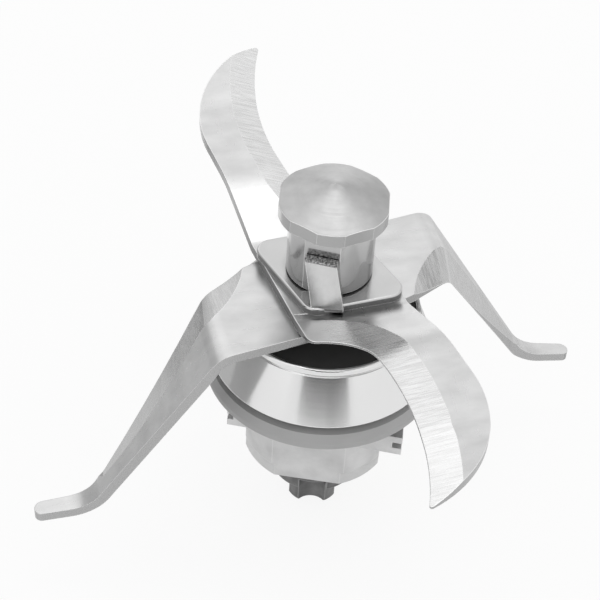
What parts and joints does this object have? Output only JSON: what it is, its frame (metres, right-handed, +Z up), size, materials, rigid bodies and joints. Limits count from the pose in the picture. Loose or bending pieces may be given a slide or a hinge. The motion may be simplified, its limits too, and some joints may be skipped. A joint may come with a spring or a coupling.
{
  "type": "blender blade assembly",
  "caption": "Removable blender blade unit: crossed bent blades on a shaft under a tab washer and cap nut, over a sealed bearing housing with bayonet wings and a star drive coupling.",
  "frame": {"origin": "on the shaft axis at the foot of the drive coupling", "axes": "+Z up along the shaft towards the cap nut, X along the bayonet wings, Y across them"},
  "size_m": [0.101, 0.1176, 0.0821],
  "materials": {
    "lower_blade_steel": "satin",
    "upper_blade_steel": "satin",
    "washer_steel": "satin",
    "nut_steel": "turned",
    "polished_steel": "polished",
    "machined_steel": "turned",
    "housing_aluminium": "bead blasted",
    "coupling_metal": "sintered, oiled",
    "grey_silicone": "matt",
    "black_rubber": "satin",
    "bearing_steel": "ground",
    "shield_steel": "pressed",
    "spring_steel": "blued",
    "cage_nylon": "moulded"
  },
  "bodies": {
    "housing": {"bearing_housing": "housing_aluminium", "steel_cone": "polished_steel", "seal_cap": "black_rubber", "lip_seal": "black_rubber", "garter_spring": "spring_steel", "seal_ring": "grey_silicone", "cone_o_ring": "black_rubber", "housing_circlip": "spring_steel", "preload_washer": "spring_steel", "lower_bearing_outer_ring": "bearing_steel", "lower_bearing_top_shield": "shield_steel", "lower_bearing_bottom_shield": "shield_steel", "upper_bearing_outer_ring": "bearing_steel", "upper_bearing_top_shield": "shield_steel", "upper_bearing_bottom_shield": "shield_steel"},
    "rotor": {"shaft": "machined_steel", "lower_blade": "lower_blade_steel", "upper_blade": "upper_blade_steel", "tab_washer": "washer_steel", "cap_nut": "nut_steel", "drive_coupling": "coupling_metal", "bearing_spacer": "machined_steel", "shaft_circlip": "spring_steel", "lower_bearing_inner_ring": "bearing_steel", "upper_bearing_inner_ring": "bearing_steel"},
    "upper_ball_set": {"upper_bearing_balls": "bearing_steel", "upper_bearing_cage": "cage_nylon"},
    "lower_ball_set": {"lower_bearing_balls": "bearing_steel", "lower_bearing_cage": "cage_nylon"}
  },
  "joints": [
    {"name": "rotor_spin", "type": "hinge", "parent": "housing", "child": "rotor", "pos_m": [0, 0, 0], "axis": [0, 0, 1], "continuous": true},
    {"name": "upper_balls_roll", "type": "hinge", "parent": "housing", "child": "upper_ball_set", "pos_m": [0, 0, 0.043], "axis": [0, 0, 1], "continuous": true},
    {"name": "lower_balls_roll", "type": "hinge", "parent": "housing", "child": "lower_ball_set", "pos_m": [0, 0, 0.0215], "axis": [0, 0, 1], "continuous": true}
  ],
  "couplings": [
    {"joint": "upper_balls_roll", "follows": "rotor_spin", "ratio": 0.4025},
    {"joint": "lower_balls_roll", "follows": "rotor_spin", "ratio": 0.4025}
  ]
}
